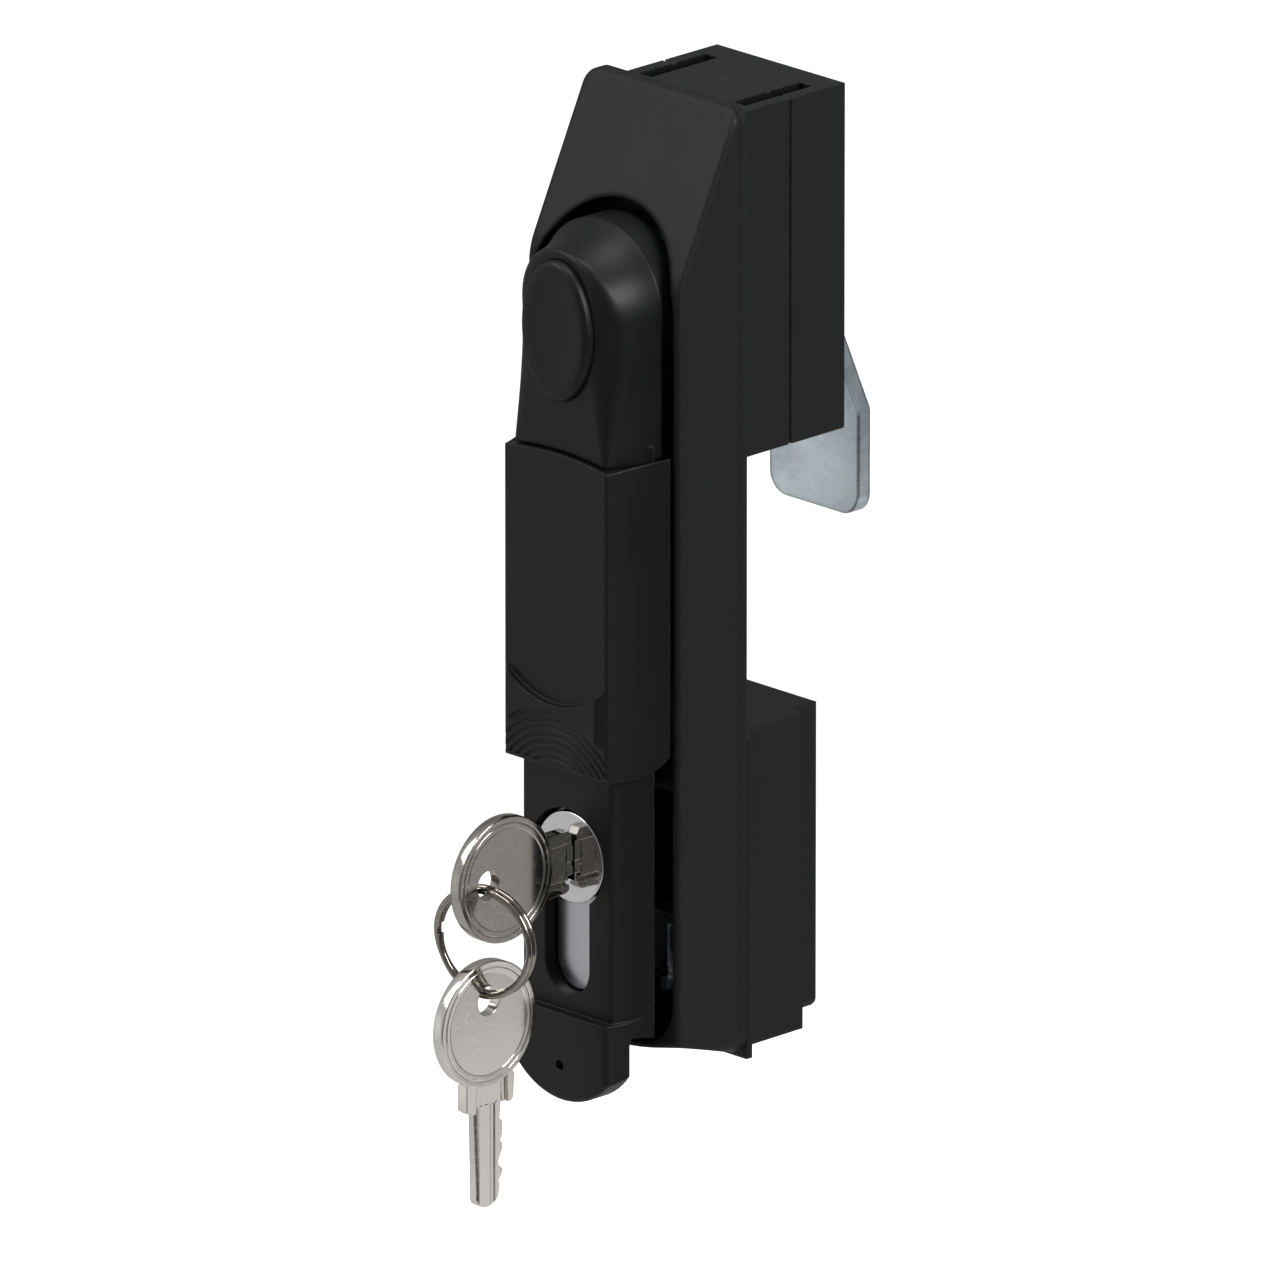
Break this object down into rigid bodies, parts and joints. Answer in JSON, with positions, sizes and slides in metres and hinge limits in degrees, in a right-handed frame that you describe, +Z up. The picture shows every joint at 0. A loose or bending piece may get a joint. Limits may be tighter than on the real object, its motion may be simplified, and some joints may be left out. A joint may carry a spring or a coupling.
{
  "type": "cabinet swing handle lock",
  "caption": "Black swing handle lock for a cabinet door, with a sliding cover over the keyhole, keys on a ring, and a gearbox and cranked cam behind the door.",
  "frame": {"origin": "where the handle's turning axis meets the door face, which is the gasket's rear face", "axes": "+X across the door to the right seen from the front, +Y from the front into the cabinet, +Z up"},
  "size_m": [0.0364, 0.0931, 0.191],
  "materials": {
    "black_plastic": "satin",
    "black_rubber": "matte",
    "zinc_plate": "matte",
    "screw_steel": "satin",
    "polished_chrome": "polished",
    "nickel": "satin",
    "brass": "satin",
    "gear_plastic": "matte"
  },
  "bodies": {
    "base_unit": {"base": "black_plastic", "gasket": "black_rubber", "thread_inserts": "brass", "gearbox_front_shell": "black_plastic", "gearbox_rear_shell": "black_plastic", "gearbox_screws": "screw_steel", "lower_housing": "black_plastic", "housing_screws": "screw_steel", "spindle_bush": "gear_plastic", "keeper": "zinc_plate"},
    "spindle_unit": {"spindle": "zinc_plate", "drive_gear": "gear_plastic", "cam": "zinc_plate", "cam_washer": "screw_steel", "cam_screw": "screw_steel"},
    "handle_unit": {"handle": "black_plastic", "head_cap": "black_plastic", "hinge_pin": "screw_steel", "lift_spring": "screw_steel", "lock_body": "polished_chrome", "lock_screws": "screw_steel", "hook_pin": "screw_steel"},
    "cover_unit": {"sliding_cover": "black_plastic", "detent_spring": "screw_steel"},
    "plug_unit": {"lock_plug": "polished_chrome", "plug_driver": "screw_steel"},
    "hook_unit": {"lock_hook": "zinc_plate"},
    "key_unit": {"inserted_key": "nickel"},
    "ring_unit": {"key_ring": "nickel"},
    "spare_unit": {"spare_key": "nickel"}
  },
  "joints": [
    {"name": "handle_turn", "type": "hinge", "parent": "base_unit", "child": "spindle_unit", "pos_m": [0, 0, 0], "axis": [0, -1, 0], "range_deg": [0, 90]},
    {"name": "handle_lift", "type": "hinge", "parent": "spindle_unit", "child": "handle_unit", "pos_m": [0, -0.0145, 0], "axis": [-1, 0, 0], "range_deg": [0, 25]},
    {"name": "cover_slide", "type": "slide", "parent": "handle_unit", "child": "cover_unit", "axis": [0, 0, -1], "range_m": [0, 0.042]},
    {"name": "plug_turn", "type": "hinge", "parent": "handle_unit", "child": "plug_unit", "pos_m": [0, -0.0225, -0.098], "axis": [0, -1, 0], "range_deg": [0, 90]},
    {"name": "hook_swing", "type": "hinge", "parent": "handle_unit", "child": "hook_unit", "pos_m": [0.0077, -0.0212, -0.1175], "axis": [-1, 0, 0], "range_deg": [0, 90]},
    {"name": "key_pull", "type": "slide", "parent": "plug_unit", "child": "key_unit", "axis": [0, -1, 0], "range_m": [0, 0.045]},
    {"name": "ring_swing", "type": "hinge", "parent": "key_unit", "child": "ring_unit", "pos_m": [0, -0.0449, -0.099], "axis": [-1, 0, 0], "range_deg": [-5, 60]},
    {"name": "spare_key_swing", "type": "hinge", "parent": "ring_unit", "child": "spare_unit", "pos_m": [0, -0.0449, -0.1178], "axis": [-1, 0, 0], "range_deg": [-12, 30]}
  ],
  "couplings": [
    {"joint": "hook_swing", "follows": "plug_turn", "ratio": 1},
    {"joint": "key_pull", "follows": "cover_slide", "ratio": 1.05}
  ]
}
